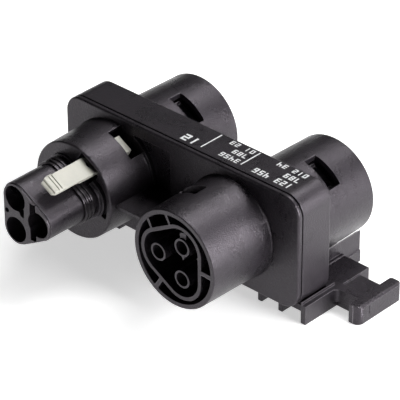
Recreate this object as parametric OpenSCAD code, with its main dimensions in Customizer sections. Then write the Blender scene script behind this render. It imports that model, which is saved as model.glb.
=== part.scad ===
// Three-pole power distribution block: one plug port and three socket ports
// on a shared box, with straight busbars inside. All lengths in millimetres.

/* [Piece] */
// Piece to draw, or all of them

/* [Box] */
// Length of the box along X
box_length = 84.4; // [84:0.1:85]
// Height of the box along Z
box_height = 34; // [33.8:0.1:34.4]
// Depth of the rear housing behind the seam
housing_depth = 10.9; // [10.9:0.1:11.4]
// Thickness of the cover in front of the seam
cover_thickness = 1.4; // [1.2:0.1:1.6]
// Radius of the four long corners
box_corner_r = 5.5; // [4.5:0.5:6]
// Radius of the small outer edge rounding
box_edge_r = 0.6; // [0.3:0.1:0.8]
// Width of the seam between cover and housing
seam_gap = 0.4; // [0.3:0.1:0.6]
// Height of the ribs under the box
rib_drop = 3.7; // [3.7:0.1:4]

/* [Sockets] */
// Distance of the plug port and the rear ports from the middle
port_offset = 24.4; // [24.2:0.1:24.6]
// Protrusion of each socket shell from the box
socket_length = 22; // [21:0.5:23]
// Outer radius of the shell at its rim
socket_rim_r = 14.2; // [14.1:0.05:14.3]
// Outer radius of the shell at the box
socket_base_r = 14.6; // [14.5:0.05:14.7]
// Inner radius of the shell
socket_inner_r = 12.7; // [12.5:0.05:12.8]
// Thickness of the three-sided inner wall
inner_wall_t = 1.1; // [0.9:0.1:1.2]
// Angle that the lock window spans
window_angle = 42; // [38:1:46]

/* [Contacts] */
// Radius of the circle that the three contacts sit on
contact_circle_r = 5.6; // [5.5:0.05:5.7]
// Outer diameter of an insulating contact tube
tube_d = 5.2; // [5.1:0.1:5.3]
// Outer diameter of a contact sleeve
sleeve_d = 3.8; // [3.6:0.1:3.8]
// Bore diameter of a contact sleeve
sleeve_bore_d = 3.05; // [3.05:0.01:3.1]
// Diameter of a plug pin
pin_d = 3; // [2.9:0.05:3]
// Depth of the pin tips inside the nose
pin_recess = 5; // [4:0.5:8]
// Width of a busbar strip
bar_width = 3.6; // [3.2:0.1:3.8]

/* [Plug] */
// Protrusion of the plug collar from the box
collar_length = 15.6; // [15.4:0.1:15.8]
// Distance from the box to the front of the nose
nose_length = 34.3; // [33.5:0.1:34.5]
// Distance from the plug axis to the nose corner centres
nose_corner_centre = 5.2; // [5.1:0.05:5.25]
// Radius of the nose corners
nose_corner_r = 4.9; // [4.85:0.05:4.95]
// Radius of the three nose chambers
chamber_r = 3.7; // [3.5:0.1:3.7]
// Depth of the three nose chambers
chamber_depth = 16.5; // [16:0.5:17]

/* [Lock lever] */
// Half width of the lever body
lever_half_w = 2.75; // [2.6:0.05:2.9]
// Radius of the lever pivots
pivot_r = 0.8; // [0.7:0.05:0.9]

/* [Foot] */
// Length of the foot beyond the box along X
foot_reach = 12.4; // [12.1:0.1:12.7]
// Thickness of the wall next to the box
foot_leg_t = 1.7; // [1.5:0.1:1.9]

/* [Hidden] */
$fn = 64;
eps = 0.01;

BLACK = [0.16, 0.15, 0.17];
DARK = [0.09, 0.09, 0.10];
CREAM = [0.87, 0.85, 0.78];
TIN = [0.75, 0.75, 0.73];
COPPER = [0.75, 0.45, 0.30];

hx = box_length/2;
hz = box_height/2;
seam = seam_gap/2;
y_cov = -seam - cover_thickness;      // cover front face
y_back = seam + housing_depth;        // housing back face
wall = 2.2;                           // housing wall
y_in0 = y_cov + wall;                 // cover inner face
y_in1 = y_back - wall;                // housing inner back face
ground = -hz - rib_drop;
socket_in = port_offset - contact_circle_r; // front socket X, in line with the rear contacts
y_nose = y_cov - nose_length;
y_rear = y_back + socket_length;
y_col = y_cov - collar_length;
x_foot = hx + foot_reach;
// Row origin: middle of the bounding box in X and Y, bottom in Z
org = [-(x_foot - hx)/2, -(y_nose + y_rear)/2, -ground];

tri_c = 4.5;                          // socket wall corner centres
tri_in = 6.15;                        // socket wall inner corner radius
tri_out = tri_in + inner_wall_t;
tri_flat = tri_c/2 + tri_out;         // outer flat distance
spigot_r = 8;
plug_spigot_r = 8;
y_seat = y_nose + chamber_depth;       // chamber floor, where the nose meets its base
peg_r = 1.1;                           // peg of the base in the web between the chambers
tail_r = 1.2;
shank_r = pin_d/2 + 0.3;               // pin shank inside the insulator
// Stack inside the box
y_bar0 = y_in0 + 1.6;
y_bar1 = y_bar0 + 1.4;
y_split = y_bar1 + 0.8;
y_bar_mid = (y_bar0 + y_bar1)/2;
// Lever
y_piv = -12;
z_piv = 10;
y_face = y_col;                       // collar face

// ---------- helpers ----------
// Extrude a shape drawn in X and Z from ya to yb (ya < yb)
module ext(ya, yb) translate([0, yb, 0]) rotate([90, 0, 0]) linear_extrude(height = yb - ya) children();
// Turn a radius and Y profile about the Y axis
module lathe() rotate([-90, 0, 0]) rotate_extrude() children();
// Box from corner a to corner b
module blk(a, b) translate(a) cube([b[0]-a[0], b[1]-a[1], b[2]-a[2]]);
module rrect(x, z, r) {
  square([2*x, 2*(z - r)], center = true);
  square([2*(x - r), 2*z], center = true);
  for (i = [-1, 1], j = [-1, 1]) translate([i*(x - r), j*(z - r)]) circle(r = r);
}
// Three-sided outline with round corners, first corner at angle a; the flats
// sit a hair inside the corner circles so that they cross them cleanly
module rtri(c, r, a = 0) {
  f = r - 0.015;
  polygon([for (k = [0:2], s = [-60, 60]) let(b = a + 120*k) [c*cos(b) + f*cos(b + s), c*sin(b) + f*sin(b + s)]]);
  for (k = [0:2]) rotate(a + 120*k) translate([c, 0]) circle(r = r);
}
// Edge profile: half width w from y0 to y1, front edge radius e0, back edge radius e1
module edge2d(w, y0, y1, e0, e1) {
  translate([0, y0 + e0]) square([w, y1 - y0 - e0 - e1]);
  translate([0, y0]) square([w - max(e0, e1), y1 - y0]);
  if (e0 > 0) translate([w - e0, y0 + e0]) circle(r = e0);
  if (e1 > 0) translate([w - e1, y1 - e1]) circle(r = e1);
}
// Rounded slab with rounded front or back edges
module slab(x, z, r, y0, y1, e0, e1) {
  for (i = [-1, 1], j = [-1, 1]) translate([i*(x - r), 0, j*(z - r)]) lathe() intersection() {
    edge2d(r, y0, y1, e0, e1);
    translate([0, y0 - 1]) square([r + 1, y1 - y0 + 2]);
  }
  translate([0, 0, -(z - r)]) linear_extrude(height = 2*(z - r)) { edge2d(x, y0, y1, e0, e1); mirror([1, 0]) edge2d(x, y0, y1, e0, e1); }
  translate([-(x - r), 0, 0]) rotate([90, 0, 90]) linear_extrude(height = 2*(x - r)) { rotate(90) mirror([0, 1]) edge2d(z, y0, y1, e0, e1); rotate(90) edge2d_m(z, y0, y1, e0, e1); }
}
module edge2d_m(w, y0, y1, e0, e1) mirror([1, 0]) mirror([0, 1]) edge2d(w, y0, y1, e0, e1);
// Cylinder along Y
module cyl_y(r, ya, yb) translate([0, ya, 0]) rotate([-90, 0, 0]) cylinder(r = r, h = yb - ya);
// Cylinder along X
module cyl_x(r, xa, xb) translate([xa, 0, 0]) rotate([0, 90, 0]) cylinder(r = r, h = xb - xa);
// Places on the contact circle of the plug port
module at_plug() for (a = [0, 120, 240]) translate([contact_circle_r*cos(a), 0, contact_circle_r*sin(a)]) children();
// Places on the contact circle of a socket port, opening along -Y
module at_socket() for (a = [180, 60, -60]) translate([contact_circle_r*cos(a), 0, contact_circle_r*sin(a)]) children();
module front_port() translate([socket_in, y_cov, 0]) children();
module rear_port(s) translate([s*port_offset, y_back, 0]) rotate([0, 0, 180]) children();
module plug_port() translate([-port_offset, 0, 0]) children();
// Lever frame: local Z points out of the plug axis at 60 degrees
module lever_frame() plug_port() rotate([0, 30, 0]) children();

// ---------- box ----------
module front_cover() color(BLACK) translate(org) difference() {
  union() {
    slab(hx, hz, box_corner_r, y_cov, -seam, box_edge_r, 0);
    ext(-seam - eps, y_in0 + 1.2) rrect(hx - wall - 0.1, hz - wall - 0.1, box_corner_r - wall - 0.1);
    // web between the two front ports
    blk([-port_offset + 12, y_cov - 13.7, -0.5], [socket_in - 12, y_cov + eps, 0.5]);
  }
  // hollow inside the locating rim
  ext(y_in0, y_in0 + 2) rrect(hx - wall - 1.5, hz - wall - 1.5, 1.9);
  // spigot holes
  plug_port() cyl_y(plug_spigot_r + 0.05, y_cov - 1, y_in0 + 1);
  translate([socket_in, 0, 0]) cyl_y(spigot_r + 0.05, y_cov - 1, y_in0 + 1);
  // shallow recess above the web
  difference() {
    blk([-16.5, y_cov - 1, 0.5], [-3.2, y_cov + 1.3, 13.5]);
    plug_port() cyl_y(15.3, y_cov - 2, y_cov + 2);
  }
  // room for the port bodies beside the web
  plug_port() translate([0, y_cov, 0]) lathe() polygon([[0, -14.5], [socket_rim_r + 0.07, -14.5], [socket_base_r + 0.06, -0.95], [socket_base_r + 0.36, -0.65], [socket_base_r + 0.36, 0], [0, 0]]);
  translate([socket_in, y_cov, 0]) lathe() polygon([[0, -14.5], [socket_rim_r + 0.2, -14.5], [socket_base_r + 0.06, -0.95], [socket_base_r + 0.36, -0.65], [socket_base_r + 0.36, 0], [0, 0]]);
}

module rear_housing() color(BLACK) translate(org) difference() {
  union() {
    slab(hx, hz, box_corner_r, seam, y_back, 0, box_edge_r);
    // ribs under the box
    for (x = [[26.7, 28.2], [33.9, 35.4], [-26.3, -24.5]]) blk([x[0], seam, ground], [x[1], y_back - 0.6, -hz + 0.5]);
  }
  ext(seam - 1, y_in1) rrect(hx - wall, hz - wall, box_corner_r - wall);
  for (s = [-1, 1]) translate([s*port_offset, 0, 0]) cyl_y(spigot_r + 0.05, y_in1 - 1, y_back + 1);
  // peg holes for the foot
  for (y = [3.6, 8]) translate([38.8, y, -hz - 1]) cylinder(r = 1.25, h = 4);
}

module housing_seal() color(DARK) translate(org) ext(-seam, seam) difference() {
  rrect(hx - 0.7, hz - 0.7, box_corner_r - 0.7);
  rrect(hx - wall + 0.05, hz - wall + 0.05, box_corner_r - wall);
}

// ---------- socket port, opening along -Y from the plane y = 0 ----------
module socket_shell() {
  L = socket_length;
  difference() {
    union() {
      lathe() polygon([[socket_inner_r, 0], [socket_base_r + 0.3, 0], [socket_base_r + 0.3, -0.6], [socket_base_r, -0.9],
        [socket_rim_r, -L + 0.25], [socket_rim_r - 0.2, -L], [socket_inner_r + 0.2, -L], [socket_inner_r, -L + 0.2]]);
      ext(-2, 0) difference() { circle(r = socket_inner_r + 0.4); rtri(tri_c, tri_in, 180); }
      ext(-L, 0) difference() { rtri(tri_c, tri_out, 180); rtri(tri_c, tri_in, 180); }
      // key walls beside the lever channel and two single ribs
      ext(-L, 0) {
        for (s = [-1, 1]) rotate(120) translate([tri_flat - 0.3, s*3.75 - 0.4]) square([socket_inner_r - tri_flat + 0.2, 0.8]);
        for (a = [0, 240]) rotate(a) translate([tri_flat - 0.3, -0.62]) square([socket_inner_r - tri_flat + 0.6, 1.24]);
      }
      // coding rib on the straight wall
      ext(-L + 1.5, -2.6) polygon([[8.6, 4.0], [8.6, 3.2], [6.9, 2.0], [6.5, 2.5]]);
    }
    // lock window
    ext(-11.5, -6.9) polygon([for (p = [[11.5, -1], [20, -1], [20, 1], [11.5, 1]]) [p[0]*cos(120 + p[1]*window_angle/2), p[0]*sin(120 + p[1]*window_angle/2)]]);
  }
}
module socket_carrier() {
  L = socket_length;
  difference() {
    union() {
      ext(-2.5, 0) rtri(tri_c, tri_in - 0.06, 180);
      cyl_y(spigot_r, -1, wall);
      at_socket() cyl_y(tube_d/2, -L, -1);
      // coding marks beside the upper tube
      ext(-L, -2) polygon([[2.5, 2.7], [3.25, 1.2], [4.0, 2.7]]);
      ext(-L + 0.6, -2) polygon([[1.7, 7.0], [1.5, 8.7], [3.9, 9.5], [3.7, 7.0]]);
    }
    at_socket() cyl_y(sleeve_d/2 + 0.05, -L - 1, -1);
    at_socket() cyl_y(tail_r + 0.1, -2, wall + 1);
  }
}
module socket_sleeves() {
  L = socket_length;
  at_socket() difference() {
    union() {
      cyl_y(sleeve_d/2, -L + 3.2, -1);
      cyl_y(tail_r, -1.5, 0);
    }
    cyl_y(sleeve_bore_d/2, -L, -4);
    blk([-3, -L, -0.2], [0, -8, 0.2]);
  }
}
// Tails down to the busbars: reach is the Y length past the box face
module socket_tails(reach) at_socket() cyl_y(tail_r, -0.5, reach);

module front_socket_shell() color(BLACK) translate(org) front_port() socket_shell();
module front_socket_carrier() color(BLACK) translate(org) front_port() socket_carrier();
module front_socket_sleeves() color(TIN) translate(org) front_port() { socket_sleeves(); socket_tails(y_bar_mid - 0.05 - y_cov); }
module rear_left_socket_shell() color(BLACK) translate(org) rear_port(-1) socket_shell();
module rear_left_socket_carrier() color(BLACK) translate(org) rear_port(-1) socket_carrier();
module rear_left_socket_sleeves() color(TIN) translate(org) rear_port(-1) { socket_sleeves(); socket_tails(y_back - y_bar_mid - 0.05); }
module rear_right_socket_shell() color(BLACK) translate(org) rear_port(1) socket_shell();
module rear_right_socket_carrier() color(BLACK) translate(org) rear_port(1) socket_carrier();
module rear_right_socket_sleeves() color(TIN) translate(org) rear_port(1) { socket_sleeves(); socket_tails(y_back - y_bar_mid - 0.05); }

// ---------- plug port ----------
module plug_collar() color(BLACK) translate(org) {
  difference() {
    union() {
      plug_port() lathe() polygon([[12.9, y_cov], [socket_base_r + 0.3, y_cov], [socket_base_r + 0.3, y_cov - 0.6], [socket_base_r, y_cov - 0.9],
        [socket_rim_r, y_face + 0.5], [socket_rim_r - 0.5, y_face], [12, y_face], [12, y_face + 2.2], [12.9, y_face + 2.2]]);
      plug_port() ext(y_face, y_face + 2.2) circle(r = 12.5);
      // raised three-sided step round the nose
      plug_port() ext(y_face - 1, y_face + 0.1) rtri(nose_corner_centre, nose_corner_r + 1, 0);
      // bearing cheeks for the lever
      lever_frame() for (s = [-1, 1]) blk([s > 0 ? 3.5 : -5.6, y_face + 2, 8.3], [s > 0 ? 5.6 : -3.5, -8.5, 12.95]);
    }
    plug_port() ext(y_face - 2, y_face + 3) rtri(nose_corner_centre, nose_corner_r + 0.05, 0);
    lever_frame() {
      // lever channel through the face
      blk([-3.5, y_face - 2, 6], [3.5, y_face + 2.2 + eps, 13.4]);
      // opening for the rear tip
      blk([-4.9, y_cov - 4.6, 8], [4.9, y_cov + 1, 20]);
      // pivot bores, closed at their outer ends
      translate([0, y_piv, z_piv]) cyl_x(pivot_r + 0.05, -4.9, 4.9);
    }
    // pocket in the face beside the channel
    plug_port() ext(y_face - 0.5, y_face + 1.3) intersection() {
      difference() { circle(r = 12.7); rtri(nose_corner_centre, nose_corner_r + 1.4, 0); }
      polygon([[0, 0], [20, -7], [20, 19], [6, 12]]);
    }
  }
}

module plug_insulator() color(BLACK) translate(org) plug_port() difference() {
  union() {
    ext(y_nose + 0.6, y_seat) rtri(nose_corner_centre, nose_corner_r, 0);
    ext(y_nose, y_nose + 0.7) rtri(nose_corner_centre, nose_corner_r - 0.3, 0);
  }
  at_plug() cyl_y(chamber_r, y_nose - 1, y_seat + 1);
  cyl_y(peg_r + 0.05, y_seat - 2.6, y_seat + 1);
  // keying notches
  ext(y_nose - 1, y_nose + 12) {
    translate([2.6, -5.7]) square([2.2, 11.4]);
    polygon([[-1.9, 2.2], [-0.9, 0.15], [0.35, -0.15], [0.45, 2.6]]);
  }
  translate([-6.1, 0, 0]) cyl_y(0.72, y_nose - 1, y_nose + 8);
}

// Base of the nose: floor of the chambers, flange behind the collar and spigot through the cover
module plug_insulator_base() color(BLACK) translate(org) plug_port() difference() {
  union() {
    ext(y_seat, y_cov) rtri(nose_corner_centre, nose_corner_r, 0);
    ext(y_cov - 2, y_cov) rtri(nose_corner_centre, nose_corner_r + 1.2, 0);
    cyl_y(plug_spigot_r, y_cov - 1, y_in0);
    cyl_y(peg_r, y_seat - 2.5, y_seat + 0.5);
  }
  at_plug() cyl_y(shank_r + 0.05, y_seat - 1, y_in0 + 1);
}

module plug_seal() color(DARK) translate(org) plug_port() difference() {
  union() {
    ext(-23, y_face - 1.35) rtri(nose_corner_centre, nose_corner_r + 0.25, 0);
    for (y = [-23, -21.7, -20.2]) ext(y, y + 0.8) rtri(nose_corner_centre, nose_corner_r + 0.6, 0);
  }
  ext(-24, -17) rtri(nose_corner_centre, nose_corner_r + 0.01, 0);
}

// Side view in Y and height, drawn across the lever from -w to w
module side(w) rotate([90, 0, 90]) translate([0, 0, -w]) linear_extrude(height = 2*w) children();
module lock_lever() color(CREAM) translate(org) lever_frame() difference() {
  w = lever_half_w;
  union() {
    // head with a raised hook, narrower at its top and front
    intersection() {
      side(w + 0.3) polygon([[-32.4, 11], [-32.4, 11.45], [-31.3, 12.2], [-28.2, 12.45], [-28.2, 11]]);
      translate([0, 0, 10]) linear_extrude(height = 3) polygon([[-w, -28], [-w - 0.25, -28.9], [-w - 0.25, -30.2], [-2.1, -32.4], [2.1, -32.4], [w, -31.2], [w, -28]]);
      ext(-33, -28) polygon([[-w - 0.3, 10], [-w - 0.3, 11.75], [-2.1, 12.5], [2.1, 12.5], [w, 11.75], [w, 10]]);
    }
    // thin front arm, deeper middle and the arm inside the collar
    side(w) polygon([[-28.3, 11], [-28.3, 11.8], [-16.6, 11.8], [-16.6, 9.9], [-22.4, 10.2], [-22.6, 10.95]]);
    side(2.65) polygon([[-17, 9.9], [-17, 11.1], [-6, 11.1], [-5.8, 13.4], [-5.6, 13.6], [-3.9, 13.6], [-3.6, 13.3], [-3.6, 9.4], [-14, 9.4]]);
    translate([0, y_piv, z_piv]) cyl_x(1.5, -2.65, 2.65);
    translate([0, y_piv, z_piv]) cyl_x(pivot_r, -4.75, 4.75);
  }
  // cross grooves and rear notch
  for (y = [-31.8, -30.1, -29.1]) side(4) polygon([[y, 13], [y, y < -31 ? 11.6 : 12.05], [y + 0.22, y < -31 ? 11.6 : 12.05], [y + 0.22, 13]]);
  translate([-0.3, -16.6, 11.11]) cylinder(r = 0.9, h = 2);
}

module lever_spring() color(TIN) translate(org) lever_frame() side(1.2)
  polygon([[-9.3, 7.56], [-9.3, 7.8], [-13.4, 7.8], [-16.3, 9.05], [-16.6, 9.0], [-16.48, 8.8], [-13.43, 7.56]]);

module plug_pin(a) color(TIN) translate(org) plug_port() translate([contact_circle_r*cos(a), 0, contact_circle_r*sin(a)]) {
  tip = y_nose + pin_recess;
  root = y_nose + chamber_depth - 0.4;
  lathe() polygon([[0, tip], [pin_d/2 - 0.6, tip], [pin_d/2, tip + 1], [pin_d/2, root], [shank_r, root], [shank_r, y_in0 - 0.05], [tail_r, y_in0 - 0.05], [tail_r, y_bar_mid - 0.05], [0, y_bar_mid - 0.05]]);
}
module plug_pin_line() plug_pin(0);
module plug_pin_neutral() plug_pin(120);
module plug_pin_earth() plug_pin(240);

// ---------- inside the box ----------
cz = contact_circle_r*sin(60);
x_l = -port_offset + contact_circle_r;           // line contacts, front and rear left
x_n = -port_offset - contact_circle_r/2;         // neutral and earth contacts, left
x_r = port_offset - contact_circle_r/2;          // neutral and earth contacts, right
module busbar(x0, x1, z, holes) difference() {
  blk([x0 - 2.2, y_bar0, z - bar_width/2], [x1 + 2.2, y_bar1, z + bar_width/2]);
  for (x = holes) translate([x, 0, z]) cyl_y(tail_r + 0.04, y_bar0 - 1, y_bar1 + 1);
}
module busbar_line() color(COPPER) translate(org) busbar(x_l, port_offset + contact_circle_r, 0, [x_l, socket_in - contact_circle_r, port_offset + contact_circle_r]);
module busbar_neutral() color(COPPER) translate(org) busbar(x_n, x_r, cz, [x_n, x_r]);
module busbar_earth() color(COPPER) translate(org) busbar(x_n, x_r, -cz, [x_n, x_r]);
module channels(g) for (z = [-cz, 0, cz]) translate([0, z]) square([2*33.2, bar_width + 2*g], center = true);
module busbar_carrier() color(DARK) translate(org) difference() {
  ext(y_in0, y_split) rrect(35.2, 9.6, 2);
  ext(y_bar0, y_split + 1) channels(0.05);
  plug_port() at_plug() cyl_y(tail_r + 0.55, y_in0 - 1, y_bar0 + 1);
  translate([socket_in, 0, 0]) at_socket() cyl_y(tail_r + 0.55, y_in0 - 1, y_bar0 + 1);
}
module busbar_cover() color(DARK) translate(org) difference() {
  union() {
    ext(y_split, y_split + 1.6) rrect(35.2, 9.6, 2);
    ext(y_bar1, y_split + 1) channels(-0.2);
    for (x = [-1, 1], z = [-1, 1]) translate([x*10, 0, z*7.2]) cyl_y(1.8, y_split + 1, y_in1);
  }
  for (s = [-1, 1]) translate([s*port_offset, 0, 0]) at_plug() cyl_y(tail_r + 0.55, y_bar1 - 1, y_split + 3);
}

// ---------- foot ----------
module mounting_foot() color(BLACK) translate(org) difference() {
  top = ground + 5.7;
  xl = hx + foot_leg_t;
  xw = x_foot - 3.5;
  union() {
    // wall beside the box, shelf behind it and tongue under it
    blk([hx, -0.3, ground], [xl, 25.5, top]);
    blk([32.8, y_back, ground], [hx + 0.5, 25.5, top]);
    blk([35.6, 2, -hz - 2], [hx + 0.5, y_back + 0.5, -hz]);
    for (y = [3.6, 8]) translate([38.8, y, -hz - 1]) cylinder(r = 1.2, h = 2.8);
    // thin rib against the side of the box
    blk([hx, -0.3, top - 0.5], [hx + 0.35, 13, top + 0.8]);
    // cross wall with a set-back foot, and the plate behind it
    blk([xl - 0.5, 12.1, ground + 1.9], [xw + 0.5, 14.9, top]);
    blk([xl - 0.5, 12.4, ground], [xw + 0.5, 14.9, ground + 2]);
    blk([xl - 0.5, 14.5, top - 2.1], [xw + 0.5, 21.9, top - 0.6]);
    // sloped corner in front of the cross wall
    translate([0, 0, ground + 1.9]) linear_extrude(height = 3.8)
      polygon([[xl - 0.2, 10.8], [xl, 10.8], [xl + 1.3, 12.1], [xl + 1.3, 12.3], [xl - 0.2, 12.3]]);
    // outer wall with a round front end
    translate([0, 0, ground]) linear_extrude(height = 5.7) {
      translate([xw, 8.6]) square([1.5, 14]);
      translate([xw, 10.5]) square([3.5, 14]);
      translate([xw + 1.6, 10.5]) circle(r = 1.9);
      translate([xw + 1.75, 19.9]) rrect(1.75, 6, 0.8);
    }
    // ledge along the shelf
    blk([33.8, y_back, top - 0.5], [35.3, 25.5, top + 0.35]);
    // saddle under the rear right port
    for (x = [14.5, 32.8]) blk([x, y_back, ground], [x + 1.5, y_rear, -7]);
    // step along the foot of the outer rib
    blk([33.5, y_back, ground], [34.6, y_rear, ground + 3.6]);
    blk([14.5, y_back, ground], [34.3, 12.8, -7]);
  }
  // seat of the rear right port
  translate([port_offset, 0, 0]) cyl_y(socket_base_r + 0.05, y_back - 1, y_rear + 1);
  translate([port_offset, 0, 0]) cyl_y(socket_base_r + 0.35, y_back - 1, y_back + 0.95);
  // hollow under the shelf
  blk([34.6, 12.8, ground - 1], [hx - eps, 23.8, top - 1.7]);
  // upright nick in the outer wall
  blk([x_foot - 0.25, 12.9, ground + 1.9], [x_foot + 1, 13.2, ground + 4.6]);
  // small chamfer along the top of the outer wall
  translate([x_foot, 0, top]) rotate([0, 45, 0]) cube([0.9, 80, 0.9], center = true);
}

// ---------- draw ----------
front_cover();
rear_housing();
housing_seal();
plug_collar();
plug_insulator();
plug_insulator_base();
plug_seal();
lock_lever();
lever_spring();
plug_pin_line();
plug_pin_neutral();
plug_pin_earth();
front_socket_shell();
front_socket_carrier();
front_socket_sleeves();
rear_left_socket_shell();
rear_left_socket_carrier();
rear_left_socket_sleeves();
rear_right_socket_shell();
rear_right_socket_carrier();
rear_right_socket_sleeves();
busbar_line();
busbar_neutral();
busbar_earth();
busbar_carrier();
busbar_cover();
mounting_foot();
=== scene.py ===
import math

import bpy
from mathutils import Matrix, Vector


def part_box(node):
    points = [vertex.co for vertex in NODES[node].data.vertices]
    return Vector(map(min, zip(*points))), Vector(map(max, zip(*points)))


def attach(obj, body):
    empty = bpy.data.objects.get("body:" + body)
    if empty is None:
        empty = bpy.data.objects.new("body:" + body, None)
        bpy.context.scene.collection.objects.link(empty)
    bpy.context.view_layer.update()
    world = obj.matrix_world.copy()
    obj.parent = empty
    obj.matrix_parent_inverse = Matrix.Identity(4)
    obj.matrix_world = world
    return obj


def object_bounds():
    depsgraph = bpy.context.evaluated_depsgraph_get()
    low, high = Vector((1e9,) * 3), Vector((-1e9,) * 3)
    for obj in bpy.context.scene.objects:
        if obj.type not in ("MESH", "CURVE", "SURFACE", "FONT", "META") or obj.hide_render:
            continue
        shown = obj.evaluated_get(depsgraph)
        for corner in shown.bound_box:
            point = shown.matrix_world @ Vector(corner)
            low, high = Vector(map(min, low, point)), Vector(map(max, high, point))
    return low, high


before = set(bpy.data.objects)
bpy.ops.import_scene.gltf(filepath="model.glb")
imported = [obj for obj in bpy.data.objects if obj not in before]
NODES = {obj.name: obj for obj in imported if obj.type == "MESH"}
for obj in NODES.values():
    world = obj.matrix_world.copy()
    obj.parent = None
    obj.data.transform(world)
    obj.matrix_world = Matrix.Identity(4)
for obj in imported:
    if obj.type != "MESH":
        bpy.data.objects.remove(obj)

MM = 0.001
cad_lo, cad_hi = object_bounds()

# Local millimetre frame of the part: X from the middle of the box, Y from the seam, Z from the middle of the box.
_lo, _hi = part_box("rear_housing")
X0, Y0, Z0 = (_lo.x + _hi.x) / 2, _lo.y - 0.2 * MM, _hi.z - 17.0 * MM


def P(x, y, z):
    return Vector((X0 + x * MM, Y0 + y * MM, Z0 + z * MM))


# ---------------------------------------------------------------- node tree helpers
def new_tree(name):
    mat = bpy.data.materials.new(name)
    mat.use_nodes = True
    nt = mat.node_tree
    nt.nodes.clear()
    return mat, nt


def put(nt, value, socket):
    """Links a socket, or sets a plain value."""
    if isinstance(value, bpy.types.NodeSocket):
        nt.links.new(value, socket)
    else:
        socket.default_value = value


def math_node(nt, op, a, b=0.0, clamp=False):
    n = nt.nodes.new("ShaderNodeMath")
    n.operation = op
    n.use_clamp = clamp
    put(nt, a, n.inputs[0])
    put(nt, b, n.inputs[1])
    return n.outputs[0]


def mix_colour(nt, f, a, b, mode="MIX"):
    n = nt.nodes.new("ShaderNodeMix")
    n.data_type = "RGBA"
    n.blend_type = mode
    put(nt, f, n.inputs[0])
    put(nt, a, n.inputs[6])
    put(nt, b, n.inputs[7])
    return n.outputs[2]


def ramp(nt, value, lo, hi, out_lo=0.0, out_hi=1.0):
    n = nt.nodes.new("ShaderNodeMapRange")
    n.interpolation_type = "SMOOTHSTEP"
    put(nt, value, n.inputs["Value"])
    n.inputs["From Min"].default_value = lo
    n.inputs["From Max"].default_value = hi
    n.inputs["To Min"].default_value = out_lo
    n.inputs["To Max"].default_value = out_hi
    return n.outputs["Result"]


def coords(nt, scale=(1, 1, 1), rotation=(0, 0, 0)):
    tc = nt.nodes.new("ShaderNodeTexCoord")
    mp = nt.nodes.new("ShaderNodeMapping")
    mp.inputs["Scale"].default_value = scale
    mp.inputs["Rotation"].default_value = rotation
    nt.links.new(tc.outputs["Object"], mp.inputs["Vector"])
    return mp.outputs["Vector"]


def noise(nt, vec, scale, detail=3.0, rough=0.55, distortion=0.0):
    n = nt.nodes.new("ShaderNodeTexNoise")
    n.inputs["Scale"].default_value = scale
    n.inputs["Detail"].default_value = detail
    n.inputs["Roughness"].default_value = rough
    n.inputs["Distortion"].default_value = distortion
    nt.links.new(vec, n.inputs["Vector"])
    return n.outputs["Fac"]


def bump(nt, height, distance, strength=1.0, normal=None):
    n = nt.nodes.new("ShaderNodeBump")
    n.inputs["Strength"].default_value = strength
    n.inputs["Distance"].default_value = distance
    nt.links.new(height, n.inputs["Height"])
    if normal is not None:
        nt.links.new(normal, n.inputs["Normal"])
    return n.outputs["Normal"]


def rgb(r, g, b):
    return (r, g, b, 1.0)


def edge_mask(nt, radius=0.00020):
    """1 along edges, 0 on faces, however large the faces' triangles are."""
    soft = nt.nodes.new("ShaderNodeBevel")
    soft.samples = 6
    soft.inputs["Radius"].default_value = radius
    g = nt.nodes.new("ShaderNodeNewGeometry")
    d = nt.nodes.new("ShaderNodeVectorMath")
    d.operation = "DOT_PRODUCT"
    nt.links.new(soft.outputs["Normal"], d.inputs[0])
    nt.links.new(g.outputs["Normal"], d.inputs[1])
    return ramp(nt, d.outputs["Value"], 0.90, 0.995, 1.0, 0.0)


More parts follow.
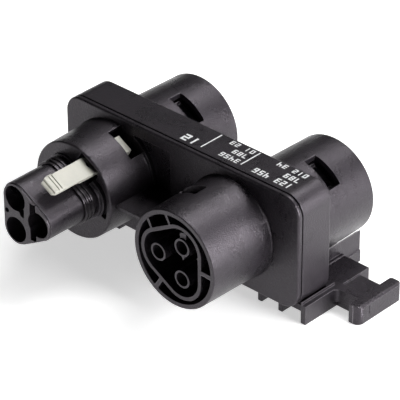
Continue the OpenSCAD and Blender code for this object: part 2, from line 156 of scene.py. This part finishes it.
def plastic(name, dark, light, edge, rough=(0.42, 0.56), grain=0.000010, grain_scale=5200.0, ior=1.5, edge_wear_highlight_gain=0.6, speck=None, tint=(1.0, 1.0, 1.0)):
    """Moulded plastic: fine spark-eroded grain, soft flow clouds, and paler edges that are partly wear and partly a
    painted highlight.
    """
    mat, nt = new_tree(name)
    out = nt.nodes.new("ShaderNodeOutputMaterial")
    sh = nt.nodes.new("ShaderNodeBsdfPrincipled")
    nt.links.new(sh.outputs[0], out.inputs[0])
    vec = coords(nt)
    cloud = noise(nt, vec, 95.0, 4.0, 0.6, 0.4)
    fine = noise(nt, vec, grain_scale, 2.0, 0.5)
    scuff = noise(nt, coords(nt, (1.0, 0.25, 1.0), (0.3, 0.2, 0.5)), 1500.0, 4.0, 0.7, 1.2)
    streak = noise(nt, coords(nt, (1.0, 1.0, 0.22), (0.0, 0.1, 0.0)), 170.0, 3.0, 0.6, 0.8)
    col = mix_colour(nt, ramp(nt, cloud, 0.32, 0.68), dark, light)
    col = mix_colour(nt, ramp(nt, scuff, 0.60, 0.82, 0.0, 0.35), col, light)
    # paler edges: partly wear, partly a painted highlight laid along every edge
    col = mix_colour(nt, math_node(nt, "MULTIPLY", edge_mask(nt), edge_wear_highlight_gain), col, edge)
    if speck is not None:
        col = mix_colour(nt, ramp(nt, noise(nt, vec, 3000.0, 1.0, 0.5), 0.52, 0.70, 0.0, 0.7), col, speck)
    nt.links.new(col, sh.inputs["Base Color"])
    r = math_node(nt, "ADD", ramp(nt, cloud, 0.3, 0.7, rough[0], rough[1]), ramp(nt, fine, 0.3, 0.7, -0.03, 0.03))
    r = math_node(nt, "ADD", r, ramp(nt, streak, 0.35, 0.65, -0.035, 0.035))
    nt.links.new(r, sh.inputs["Roughness"])
    h = math_node(nt, "ADD", math_node(nt, "MULTIPLY", fine, 0.5), math_node(nt, "MULTIPLY", noise(nt, vec, grain_scale * 0.48, 2.0, 0.6), 2.0))
    h = math_node(nt, "ADD", h, math_node(nt, "MULTIPLY", noise(nt, vec, 620.0, 2.0, 0.5), 0.35))
    nt.links.new(bump(nt, h, grain), sh.inputs["Normal"])
    sh.inputs["IOR"].default_value = ior
    sh.inputs["Specular Tint"].default_value = (*tint, 1.0)
    return mat


def metal(name, base, other, rough=(0.22, 0.38), stretch=(1, 0.06, 1), scale=2600.0, depth=0.000004):
    mat, nt = new_tree(name)
    out = nt.nodes.new("ShaderNodeOutputMaterial")
    sh = nt.nodes.new("ShaderNodeBsdfPrincipled")
    nt.links.new(sh.outputs[0], out.inputs[0])
    vec = coords(nt)
    lines = noise(nt, coords(nt, stretch), scale, 4.0, 0.6)
    patch = noise(nt, vec, 420.0, 4.0, 0.6, 0.6)
    col = mix_colour(nt, ramp(nt, patch, 0.35, 0.7), base, other)
    col = mix_colour(nt, math_node(nt, "MULTIPLY", edge_mask(nt), 0.4), col, rgb(0.9, 0.89, 0.86))
    nt.links.new(col, sh.inputs["Base Color"])
    sh.inputs["Metallic"].default_value = 1.0
    r = math_node(nt, "ADD", ramp(nt, patch, 0.3, 0.7, rough[0], rough[1]), ramp(nt, lines, 0.3, 0.7, -0.05, 0.05))
    nt.links.new(r, sh.inputs["Roughness"])
    nt.links.new(bump(nt, lines, depth), sh.inputs["Normal"])
    return mat


def rubber(name, dark, light):
    mat, nt = new_tree(name)
    out = nt.nodes.new("ShaderNodeOutputMaterial")
    sh = nt.nodes.new("ShaderNodeBsdfPrincipled")
    nt.links.new(sh.outputs[0], out.inputs[0])
    vec = coords(nt)
    cloud = noise(nt, vec, 260.0, 4.0, 0.6, 0.5)
    dust = noise(nt, vec, 3400.0, 3.0, 0.6)
    col = mix_colour(nt, ramp(nt, cloud, 0.35, 0.7), dark, light)
    col = mix_colour(nt, ramp(nt, dust, 0.66, 0.8, 0.0, 0.3), col, rgb(0.05, 0.05, 0.05))
    sh.inputs["Specular Tint"].default_value = (0.985, 0.89, 1.0, 1.0)
    nt.links.new(col, sh.inputs["Base Color"])
    nt.links.new(ramp(nt, cloud, 0.3, 0.7, 0.25, 0.36), sh.inputs["Roughness"])
    nt.links.new(bump(nt, dust, 0.000012), sh.inputs["Normal"])
    return mat


M = {
    # body_plastic edge colour: partly wear, mostly a painted highlight standing in for the bright rim lines
    "body_plastic": plastic("body_plastic", rgb(0.0065, 0.0054, 0.0072), rgb(0.0110, 0.0092, 0.0116), rgb(0.240, 0.222, 0.242), (0.27, 0.38), 0.000053, edge_wear_highlight_gain=0.9, speck=rgb(0.034, 0.031, 0.035), tint=(0.985, 0.890, 1.0)),
    "inner_plastic": plastic("inner_plastic", rgb(0.012, 0.012, 0.013), rgb(0.018, 0.018, 0.019), rgb(0.05, 0.05, 0.05), (0.5, 0.62)),
    "lever_plastic": plastic("lever_plastic", rgb(0.40, 0.395, 0.35), rgb(0.47, 0.46, 0.41), rgb(0.56, 0.555, 0.51), (0.40, 0.52), 0.000008, 4200.0, 1.48, 0.5),
    "seal_rubber": rubber("seal_rubber", rgb(0.007, 0.006, 0.007), rgb(0.012, 0.011, 0.012)),
    "tinned_contact": metal("tinned_contact", rgb(0.62, 0.61, 0.58), rgb(0.74, 0.73, 0.70)),
    "busbar_metal": metal("busbar_metal", rgb(0.72, 0.36, 0.22), rgb(0.80, 0.45, 0.30), (0.2, 0.36), (0.06, 1, 1)),
    "spring_steel": metal("spring_steel", rgb(0.52, 0.51, 0.49), rgb(0.62, 0.61, 0.60), (0.22, 0.34), (1, 0.1, 1)),
}


# ---------------------------------------------------------------- CAD nodes: rounded edges, smooth shading, materials
def smoothing_group():
    """Clears the imported normals, smooths every face and keeps edges over 50 degrees sharp."""
    g = bpy.data.node_groups.new("smooth_faces", "GeometryNodeTree")
    g.interface.new_socket("Geometry", in_out="INPUT", socket_type="NodeSocketGeometry")
    g.interface.new_socket("Geometry", in_out="OUTPUT", socket_type="NodeSocketGeometry")
    i = g.nodes.new("NodeGroupInput")
    o = g.nodes.new("NodeGroupOutput")
    last = i.outputs[0]
    for name in ("custom_normal", "sharp_edge", "sharp_face"):
        n = g.nodes.new("GeometryNodeRemoveAttribute")
        n.inputs["Name"].default_value = name
        g.links.new(last, n.inputs[0])
        last = n.outputs[0]
    angle = g.nodes.new("GeometryNodeInputMeshEdgeAngle")
    more = g.nodes.new("FunctionNodeCompare")
    more.data_type = "FLOAT"
    more.operation = "GREATER_THAN"
    more.inputs[1].default_value = math.radians(50)
    g.links.new(angle.outputs["Unsigned Angle"], more.inputs[0])
    face = g.nodes.new("GeometryNodeSetShadeSmooth")
    face.domain = "FACE"
    face.inputs["Shade Smooth"].default_value = True
    g.links.new(last, face.inputs[0])
    edge = g.nodes.new("GeometryNodeSetShadeSmooth")
    edge.domain = "EDGE"
    edge.inputs["Shade Smooth"].default_value = False
    g.links.new(face.outputs[0], edge.inputs[0])
    g.links.new(more.outputs[0], edge.inputs["Selection"])
    g.links.new(edge.outputs[0], o.inputs[0])
    return g


SMOOTH = smoothing_group()


def round_edges(o, width, segments=2, angle=50):
    m = o.modifiers.new("weld", "WELD")
    m.merge_threshold = 1e-6
    m = o.modifiers.new("flats", "DECIMATE")
    m.decimate_type = "DISSOLVE"
    m.angle_limit = math.radians(0.5)
    if width:
        m = o.modifiers.new("edges", "BEVEL")
        m.width = width * MM
        m.segments = segments
        m.limit_method = "ANGLE"
        m.angle_limit = math.radians(angle)
        m.use_clamp_overlap = False
    m = o.modifiers.new("smooth", "NODES")
    m.node_group = SMOOTH
    m = o.modifiers.new("flat_normals", "WEIGHTED_NORMAL")
    m.mode = "FACE_AREA"
    m.weight = 50
    m.keep_sharp = True


LOOKS = {
    "front_cover": ("body_plastic", 0.16),
    "rear_housing": ("body_plastic", 0.22),
    "housing_seal": ("seal_rubber", 0.08),
    "plug_collar": ("body_plastic", 0.09),
    "plug_insulator": ("body_plastic", 0.09),
    "plug_insulator_base": ("body_plastic", 0.09),
    "plug_seal": ("seal_rubber", 0.1),
    "lock_lever": ("lever_plastic", 0.1),
    "lever_spring": ("spring_steel", 0.03),
    "mounting_foot": ("body_plastic", 0.1),
    "busbar_carrier": ("inner_plastic", 0.1),
    "busbar_cover": ("inner_plastic", 0.1),
    "busbar_line": ("busbar_metal", 0.1),
    "busbar_neutral": ("busbar_metal", 0.1),
    "busbar_earth": ("busbar_metal", 0.1),
}
for n in ("line", "neutral", "earth"):
    LOOKS["plug_pin_" + n] = ("tinned_contact", 0.1)
for n in ("front", "rear_left", "rear_right"):
    LOOKS[n + "_socket_shell"] = ("body_plastic", 0.1)
    LOOKS[n + "_socket_carrier"] = ("body_plastic", 0.12)
    LOOKS[n + "_socket_sleeves"] = ("tinned_contact", 0.08)

for n, (m, w) in LOOKS.items():
    o = NODES[n]
    for s in o.material_slots:
        s.link = "OBJECT"
        s.material = M[m]
    round_edges(o, w)

# ---------------------------------------------------------------- print on the top face: two rules and plain counting numbers
def strokes(ch, w, h, s, g=0.03):
    """The straight strokes of a plain number as rectangles (left, bottom, right, top), none touching another."""
    m, a, b = h / 2, s / 2 + g, s + g
    top, mid, low = (0, h - s, w, h), (0, m - s / 2, w, m + s / 2), (0, 0, w, s)
    ul, ur = (0, m + a, s, h - b), (w - s, m + a, w, h - b)
    ll, lr = (0, b, s, m - a), (w - s, b, w, m - a)
    return {
        "0": [top, low, (0, b, s, h - b), (w - s, b, w, h - b)],
        "1": [(w / 2 - s / 2, 0, w / 2 + s / 2, h)],
        "2": [top, ur, mid, ll, low],
        "3": [top, ur, mid, lr, low],
        "4": [(0, m + a, s, h), (0, m - s / 2, w - b, m + s / 2), (w - s, 0, w, h)],
        "5": [top, ul, mid, lr, low],
        "6": [top, ul, mid, ll, lr, low],
        "7": [top, (w - s, 0, w, h - b)],
        "8": [top, ul, ur, mid, ll, lr, low],
        "9": [top, ul, ur, mid, lr, low],
    }[ch]


def print_boxes():
    boxes = [(4.73 - 0.2, 1.9, 4.73 + 0.2, 10.2), (18.43 - 0.2, 2.4, 18.43 + 0.2, 10.2)]
    rows = [  # first character's right side in X, baseline in Y, width, height, stroke, pitch, numbers
        (2.5, 4.5, 2.1, 3.1, 0.62, 2.9, "12"),
        (17.2, 4.0, 1.25, 2.0, 0.36, 1.75, "3456"),
        (17.2, 7.1, 1.25, 1.9, 0.36, 1.75, "789"),
        (17.2, 10.0, 1.2, 1.8, 0.34, 1.75, "01 23"),
        (35.4, 4.0, 1.35, 2.3, 0.42, 1.9, "123 456"),
        (35.4, 7.3, 1.3, 2.1, 0.40, 1.85, "789"),
        (35.4, 10.3, 1.25, 1.9, 0.38, 1.75, "012 34"),
    ]
    for x, y, w, h, s, pitch, text in rows:
        for i, ch in enumerate(text):
            if ch != " ":
                boxes += [(x - i * pitch - r[2], y - r[3], x - i * pitch - r[0], y - r[1]) for r in strokes(ch, w, h, s)]
    return boxes


def top_print():
    import bmesh
    bm = bmesh.new()
    for x0, y0, x1, y1 in print_boxes():
        a, b = P(x0, y0, 16.99), P(x1, y1, 17.012)
        v = [bm.verts.new((x, y, z)) for z in (a.z, b.z) for x, y in ((a.x, a.y), (b.x, a.y), (b.x, b.y), (a.x, b.y))]
        for f in ((3, 2, 1, 0), (4, 5, 6, 7), (0, 1, 5, 4), (1, 2, 6, 5), (2, 3, 7, 6), (3, 0, 4, 7)):
            bm.faces.new([v[k] for k in f])
    me = bpy.data.meshes.new("top_print")
    bm.to_mesh(me)
    bm.free()
    o = bpy.data.objects.new("top_print", me)
    bpy.context.scene.collection.objects.link(o)
    mat, nt = new_tree("print_ink")
    out = nt.nodes.new("ShaderNodeOutputMaterial")
    sh = nt.nodes.new("ShaderNodeBsdfPrincipled")
    nt.links.new(sh.outputs[0], out.inputs[0])
    vec = coords(nt)
    worn = ramp(nt, noise(nt, vec, 2400.0, 3.0, 0.6), 0.62, 0.80)
    col = mix_colour(nt, noise(nt, vec, 500.0, 3.0, 0.5), rgb(0.72, 0.74, 0.75), rgb(0.84, 0.85, 0.85))
    nt.links.new(mix_colour(nt, worn, col, rgb(0.34, 0.34, 0.35)), sh.inputs["Base Color"])
    nt.links.new(ramp(nt, worn, 0.0, 1.0, 0.55, 0.7), sh.inputs["Roughness"])
    nt.links.new(bump(nt, noise(nt, vec, 4200.0, 2.0, 0.5), 0.000006), sh.inputs["Normal"])
    me.materials.append(mat)
    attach(o, "block")


top_print()

# ---------------------------------------------------------------- floor, light and camera
def stage_floor():
    import bmesh
    bm = bmesh.new()
    bmesh.ops.create_grid(bm, x_segments=8, y_segments=8, size=1.6)
    me = bpy.data.meshes.new("studio_floor")
    bm.to_mesh(me)
    bm.free()
    o = bpy.data.objects.new("studio_floor", me)
    bpy.context.scene.collection.objects.link(o)
    o.location = (0, 0, cad_lo.z)
    mat, nt = new_tree("floor_paper")
    out = nt.nodes.new("ShaderNodeOutputMaterial")
    sh = nt.nodes.new("ShaderNodeBsdfPrincipled")
    nt.links.new(sh.outputs[0], out.inputs[0])
    vec = coords(nt)
    nt.links.new(mix_colour(nt, noise(nt, vec, 30.0, 3.0, 0.5), rgb(0.86, 0.86, 0.86), rgb(0.89, 0.89, 0.89)), sh.inputs["Base Color"])
    sh.inputs["Roughness"].default_value = 0.9
    sh.inputs["Specular IOR Level"].default_value = 0.2
    # a light table: the pale floor glows softly from below
    sh.inputs["Emission Color"].default_value = (1.0, 1.0, 1.0, 1.0)
    sh.inputs["Emission Strength"].default_value = 0.55
    nt.links.new(bump(nt, noise(nt, vec, 2500.0, 2.0, 0.5), 0.00002), sh.inputs["Normal"])
    me.materials.append(mat)


def area(name, az, el, dist, size, power, colour=(1, 1, 1), target=None):
    """Soft area light at an azimuth and elevation seen from the object. Azimuth 0 is the -Y side, 90 the +X side."""
    d = bpy.data.lights.new(name, "AREA")
    d.shape = "RECTANGLE"
    d.size, d.size_y = size
    d.energy = power
    d.color = colour
    o = bpy.data.objects.new(name, d)
    bpy.context.scene.collection.objects.link(o)
    a, e = math.radians(az), math.radians(el)
    way = Vector((math.sin(a) * math.cos(e), -math.cos(a) * math.cos(e), math.sin(e)))
    c = target or P(6, 0, 0)
    o.location = c + way * dist
    o.rotation_mode = "QUATERNION"
    o.rotation_quaternion = way.to_track_quat("Z", "Y")
    return o


stage_floor()
PANEL = {8: (0.30, 0.30), 22: (0.34, 0.34), 42: (0.50, 0.50), 60: (0.45, 0.45)}
RIG = [(100, 8, 6.60), (340, 8, 0.45), (95, 22, 4.20), (115, 22, 4.20), (135, 42, 1.00), (225, 42, 0.30), (180, 60, 4.60)]
for _az, _el, _w in RIG:
    area("panel_%d_%d" % (_az, _el), _az, _el, 0.9, PANEL[_el], _w)
world = bpy.data.worlds.new("studio")
bpy.context.scene.world = world
world.use_nodes = True
world.node_tree.nodes["Background"].inputs[0].default_value = (1.0, 1.0, 1.0, 1.0)
world.node_tree.nodes["Background"].inputs[1].default_value = 0.0
bpy.context.scene.view_settings.view_transform = "Standard"
bpy.context.scene.view_settings.look = "None"

cam_data = bpy.data.cameras.new("camera")
cam = bpy.data.objects.new("camera", cam_data)
bpy.context.scene.collection.objects.link(cam)
bpy.context.scene.camera = cam
az, el, roll, dist = math.radians(42.984), math.radians(32.035), math.radians(-0.232), 753.011 * MM
back = Vector((math.sin(az) * math.cos(el), -math.cos(az) * math.cos(el), math.sin(el)))
right = Vector((math.cos(az), math.sin(az), 0))
up = back.cross(right)
right, up = math.cos(roll) * right + math.sin(roll) * up, math.cos(roll) * up - math.sin(roll) * right
turn = Matrix((right, up, back)).transposed()
cam.rotation_mode = "QUATERNION"
cam.rotation_quaternion = turn.to_quaternion()
cam.location = P(6.12, 0, 1.952) + back * dist
cam_data.sensor_width = 36.0
cam_data.lens = 2836.457 / 400 * 36.0
cam_data.clip_start = 0.05
cam_data.clip_end = 20.0
